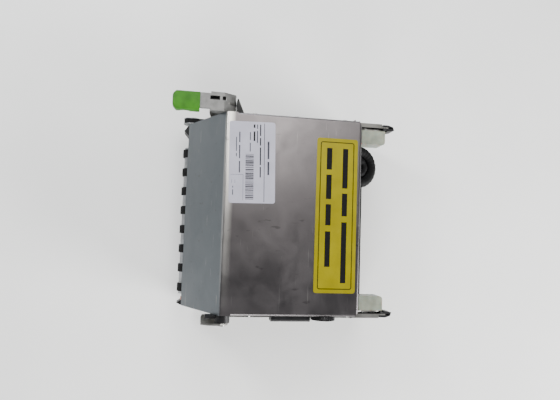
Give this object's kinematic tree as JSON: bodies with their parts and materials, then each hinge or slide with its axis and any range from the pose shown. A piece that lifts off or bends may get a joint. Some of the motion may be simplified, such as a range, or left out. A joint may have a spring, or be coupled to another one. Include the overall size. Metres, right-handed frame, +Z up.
{
  "type": "banknote handling module",
  "caption": "Banknote transport module with a hinged upper half, sloping sheet-metal cover, roller feed, side latch lever and belt drive.",
  "frame": {"origin": "centre of the base pan's underside", "axes": "+X right, +Y to the back, +Z up; notes enter at the front, -Y"},
  "size_m": [0.2616, 0.2708, 0.1503],
  "materials": {
    "bare_cover": "satin rolled sheet",
    "side_plate": "dull zinc plated sheet",
    "bright_steel": "machined",
    "roller_shaft": "satin anodised",
    "black_plastic": "moulded",
    "dark_housing": "moulded",
    "rubber": "ground",
    "idler_plastic": "moulded",
    "white_plastic": "machined",
    "bronze": "sintered",
    "motor_can": "satin",
    "circuit_board": "lacquered",
    "sensor_glass": "polished",
    "head_metal": "satin",
    "lever_paint": "satin grey",
    "green_grip": "moulded",
    "type_label": "printed film, plain",
    "warning_label": "printed film, plain",
    "loom": "ribbed"
  },
  "bodies": {
    "lower_frame": {"base_pan": "side_plate", "lower_side_plate_left": "side_plate", "lower_side_plate_right": "side_plate", "entry_guide_left": "black_plastic", "entry_guide_right": "black_plastic", "lower_cross_bars": "bright_steel", "lower_guide_plate": "black_plastic", "lower_sensor_module": "dark_housing", "lower_sensor_glass": "sensor_glass", "drive_motor": "motor_can", "drive_board": "circuit_board", "shaft_bushes": "bronze", "strike_pins": "bright_steel", "hinge_pins": "bright_steel", "rear_guide_horns": "black_plastic", "drive_belts": "rubber", "belt_shoe": "black_plastic", "chassis_screws": "bright_steel"},
    "shaft_1": {"drive_shaft_1": "roller_shaft", "drive_tyres_1": "rubber"},
    "shaft_2": {"drive_shaft_2": "roller_shaft", "drive_tyres_2": "rubber"},
    "shaft_3": {"drive_shaft_3": "roller_shaft", "drive_tyres_3": "rubber"},
    "shaft_4": {"drive_shaft_4": "roller_shaft", "drive_tyres_4": "rubber"},
    "shaft_5": {"drive_shaft_5": "roller_shaft", "drive_tyres_5": "rubber"},
    "motor_rotor": {"motor_pulley": "bright_steel"},
    "upper_half": {"top_cover": "bare_cover", "upper_side_plate_left": "side_plate", "upper_side_plate_right": "side_plate", "upper_tie_bars": "bright_steel", "upper_guide_plate": "black_plastic", "upper_sensor_module": "dark_housing", "upper_sensor_glass": "sensor_glass", "magnetic_head": "head_metal", "control_board": "circuit_board", "hinge_blocks": "white_plastic", "type_label": "type_label", "warning_label": "warning_label", "upper_screws": "bright_steel", "lever_stop_bracket": "black_plastic", "side_strip_cover": "black_plastic", "jog_belt": "rubber", "latch_bushes": "bronze", "latch_spring": "bright_steel", "harness": "loom"},
    "idler_1": {"idler_roller_1": "idler_plastic"},
    "idler_2": {"idler_roller_2": "idler_plastic"},
    "idler_3": {"idler_roller_3": "idler_plastic"},
    "idler_4": {"idler_roller_4": "idler_plastic"},
    "idler_5": {"idler_roller_5": "idler_plastic"},
    "hand_wheel": {"jog_wheel": "black_plastic"},
    "latch": {"latch_shaft": "bright_steel", "lever_arm": "lever_paint", "lever_grip": "green_grip", "latch_hooks": "side_plate", "latch_hub": "black_plastic"}
  },
  "joints": [
    {"name": "shaft_1_spin", "type": "hinge", "parent": "lower_frame", "child": "shaft_1", "pos_m": [0, -0.1195, 0.045], "axis": [1, 0, 0], "continuous": true},
    {"name": "shaft_2_spin", "type": "hinge", "parent": "lower_frame", "child": "shaft_2", "pos_m": [0, -0.06713, 0.045], "axis": [1, 0, 0], "continuous": true},
    {"name": "shaft_3_spin", "type": "hinge", "parent": "lower_frame", "child": "shaft_3", "pos_m": [0, -0.01475, 0.045], "axis": [1, 0, 0], "continuous": true},
    {"name": "shaft_4_spin", "type": "hinge", "parent": "lower_frame", "child": "shaft_4", "pos_m": [0, 0.03762, 0.045], "axis": [1, 0, 0], "continuous": true},
    {"name": "shaft_5_spin", "type": "hinge", "parent": "lower_frame", "child": "shaft_5", "pos_m": [0, 0.09, 0.045], "axis": [1, 0, 0], "continuous": true},
    {"name": "motor_spin", "type": "hinge", "parent": "lower_frame", "child": "motor_rotor", "pos_m": [0, 0.01404, 0.0195], "axis": [1, 0, 0], "continuous": true},
    {"name": "upper_swing", "type": "hinge", "parent": "lower_frame", "child": "upper_half", "pos_m": [0, 0.108, 0.106], "axis": [-1, 0, 0], "range_deg": [0, 65]},
    {"name": "idler_1_spin", "type": "hinge", "parent": "upper_half", "child": "idler_1", "pos_m": [0, -0.112, 0.06169], "axis": [1, 0, 0], "continuous": true},
    {"name": "idler_2_spin", "type": "hinge", "parent": "upper_half", "child": "idler_2", "pos_m": [0, -0.06713, 0.0633], "axis": [1, 0, 0], "continuous": true},
    {"name": "idler_3_spin", "type": "hinge", "parent": "upper_half", "child": "idler_3", "pos_m": [0, -0.01475, 0.0633], "axis": [1, 0, 0], "continuous": true},
    {"name": "idler_4_spin", "type": "hinge", "parent": "upper_half", "child": "idler_4", "pos_m": [0, 0.03762, 0.0633], "axis": [1, 0, 0], "continuous": true},
    {"name": "idler_5_spin", "type": "hinge", "parent": "upper_half", "child": "idler_5", "pos_m": [0, 0.09, 0.0633], "axis": [1, 0, 0], "continuous": true},
    {"name": "hand_wheel_spin", "type": "hinge", "parent": "upper_half", "child": "hand_wheel", "pos_m": [0, 0.04002, 0.1335], "axis": [1, 0, 0], "continuous": true},
    {"name": "latch_lift", "type": "hinge", "parent": "upper_half", "child": "latch", "pos_m": [0, -0.076, 0.136], "axis": [-1, 0, 0], "range_deg": [0, 22], "stiffness_Nm_per_rad": 0.4, "springref_deg": -20.05}
  ],
  "couplings": [
    {"joint": "shaft_2_spin", "follows": "shaft_1_spin", "ratio": 1},
    {"joint": "shaft_3_spin", "follows": "shaft_1_spin", "ratio": 1},
    {"joint": "shaft_4_spin", "follows": "shaft_1_spin", "ratio": 1},
    {"joint": "shaft_5_spin", "follows": "shaft_1_spin", "ratio": 1},
    {"joint": "idler_1_spin", "follows": "shaft_1_spin", "ratio": -1.25},
    {"joint": "idler_2_spin", "follows": "shaft_1_spin", "ratio": -1.25},
    {"joint": "idler_3_spin", "follows": "shaft_1_spin", "ratio": -1.25},
    {"joint": "idler_4_spin", "follows": "shaft_1_spin", "ratio": -1.25},
    {"joint": "idler_5_spin", "follows": "shaft_1_spin", "ratio": -1.25},
    {"joint": "hand_wheel_spin", "follows": "shaft_1_spin", "ratio": -1.25},
    {"joint": "motor_spin", "follows": "shaft_1_spin", "ratio": 1.6667}
  ]
}
